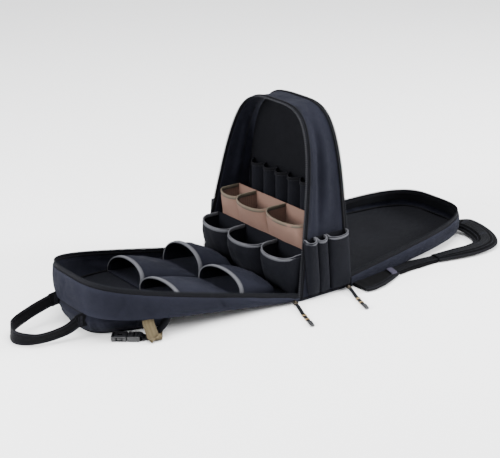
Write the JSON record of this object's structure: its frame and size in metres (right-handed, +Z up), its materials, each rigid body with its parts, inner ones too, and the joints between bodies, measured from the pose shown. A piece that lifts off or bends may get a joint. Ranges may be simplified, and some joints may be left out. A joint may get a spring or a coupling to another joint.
{
  "type": "tool backpack",
  "caption": "Unzipped tool backpack laid open: an arched centre compartment with stepped pocket rows between two folded-down trays, with handle, shoulder straps and zip pulls.",
  "frame": {"origin": "middle of the underside of the centre compartment's base", "axes": "+Z up, +Y along the opened bag towards the back tray, -Y towards the front tray, +X towards the right side wall with its three pockets"},
  "size_m": [0.5024, 1.1304, 0.375],
  "materials": {
    "cloth": "coarse charcoal woven polyester, lightly coated",
    "pocket_cloth": "black woven polyester",
    "tan_cloth": "tan woven polyester",
    "padding": "padded black cloth with air mesh",
    "webbing": "black woven webbing",
    "khaki_webbing": "khaki woven webbing",
    "zip": "grey moulded zip teeth on woven tape",
    "plastic": "moulded black plastic",
    "metal": "worn bronze-coloured plating"
  },
  "bodies": {
    "root": {"centre_base": "cloth", "centre_gusset": "cloth", "centre_front_zip": "zip", "centre_back_zip": "zip", "centre_back_panel": "cloth", "lower_pocket_left": "pocket_cloth", "lower_pocket_middle": "pocket_cloth", "lower_pocket_right": "pocket_cloth", "tan_pocket_left": "tan_cloth", "tan_pocket_middle": "tan_cloth", "tan_pocket_right": "tan_cloth", "driver_sleeves": "pocket_cloth", "side_pocket_right_front": "pocket_cloth", "side_pocket_right_middle": "pocket_cloth", "side_pocket_right_back": "pocket_cloth", "side_pocket_left_front": "pocket_cloth", "side_pocket_left_middle": "pocket_cloth", "side_pocket_left_back": "pocket_cloth", "front_tray_gusset": "cloth", "front_tray_zip": "zip", "front_tray_panel": "cloth", "tray_pocket_far_hinge": "pocket_cloth", "tray_pocket_near_hinge": "pocket_cloth", "tray_pocket_far_end": "pocket_cloth", "tray_pocket_near_end": "pocket_cloth", "outer_pocket": "cloth", "grab_handle": "webbing", "khaki_strap": "khaki_webbing", "buckle_socket": "plastic", "buckle_plug": "plastic", "buckle_strap": "webbing", "back_tray_gusset": "cloth", "back_tray_zip": "zip", "back_tray_panel": "cloth", "shoulder_strap_right": "padding", "strap_webbing_right": "webbing", "strap_wing_right": "padding", "shoulder_strap_left": "padding", "strap_webbing_left": "webbing", "strap_wing_left": "padding", "zip_slider_front": "metal", "zip_pull_front": "webbing", "pull_tip_front": "plastic", "zip_slider_back": "metal", "zip_pull_back": "webbing", "pull_tip_back": "plastic"}
  },
  "joints": []
}
